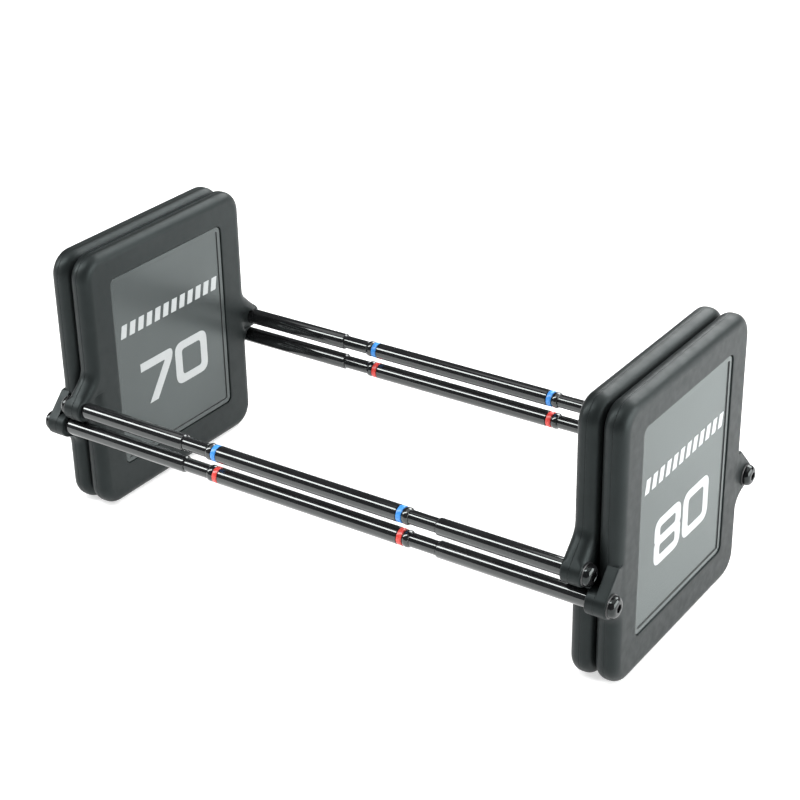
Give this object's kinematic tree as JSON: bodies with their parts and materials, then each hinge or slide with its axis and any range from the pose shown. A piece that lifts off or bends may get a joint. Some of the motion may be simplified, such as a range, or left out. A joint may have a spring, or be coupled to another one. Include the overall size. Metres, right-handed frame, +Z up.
{
  "type": "adjustable dumbbell add-on weight sets",
  "caption": "Nested add-on weight sets of a block-style adjustable dumbbell: coated plates joined by steel rods, the inner set lifting out of the outer set.",
  "frame": {"origin": "on the floor under the middle of the assembly, where the plates' lower edges stand", "axes": "+X along the rods, front towards -Y, +Z up"},
  "size_m": [0.447, 0.201, 0.19],
  "materials": {
    "coating": "matte moulded urethane",
    "core_steel": "mill finish, covered",
    "panel": "satin",
    "rod_steel": "glossy black",
    "band_red": "glossy",
    "band_blue": "glossy",
    "black_screw": "glossy black",
    "black_washer": "satin black"
  },
  "bodies": {
    "outer_set": {"outer_cover_left": "coating", "outer_core_left": "core_steel", "outer_panel_left_out": "panel", "outer_panel_left_in": "panel", "outer_band_left_front": "band_red", "outer_screw_left_front": "black_screw", "outer_washer_left_front": "black_washer", "outer_band_left_back": "band_red", "outer_screw_left_back": "black_screw", "outer_washer_left_back": "black_washer", "outer_cover_right": "coating", "outer_core_right": "core_steel", "outer_panel_right_out": "panel", "outer_panel_right_in": "panel", "outer_band_right_front": "band_red", "outer_screw_right_front": "black_screw", "outer_washer_right_front": "black_washer", "outer_band_right_back": "band_red", "outer_screw_right_back": "black_screw", "outer_washer_right_back": "black_washer", "outer_rod_front": "rod_steel", "outer_rod_back": "rod_steel"},
    "inner_set": {"inner_cover_left": "coating", "inner_core_left": "core_steel", "inner_panel_left_out": "panel", "inner_panel_left_in": "panel", "inner_band_left_front": "band_blue", "inner_screw_left_front": "black_screw", "inner_washer_left_front": "black_washer", "inner_band_left_back": "band_blue", "inner_screw_left_back": "black_screw", "inner_washer_left_back": "black_washer", "inner_cover_right": "coating", "inner_core_right": "core_steel", "inner_panel_right_out": "panel", "inner_panel_right_in": "panel", "inner_band_right_front": "band_blue", "inner_screw_right_front": "black_screw", "inner_washer_right_front": "black_washer", "inner_band_right_back": "band_blue", "inner_screw_right_back": "black_screw", "inner_washer_right_back": "black_washer", "inner_rod_front": "rod_steel", "inner_rod_back": "rod_steel"}
  },
  "joints": [
    {"name": "inner_set_lift", "type": "slide", "parent": "outer_set", "child": "inner_set", "axis": [0, 0, 1], "range_m": [0, 0.22]}
  ]
}
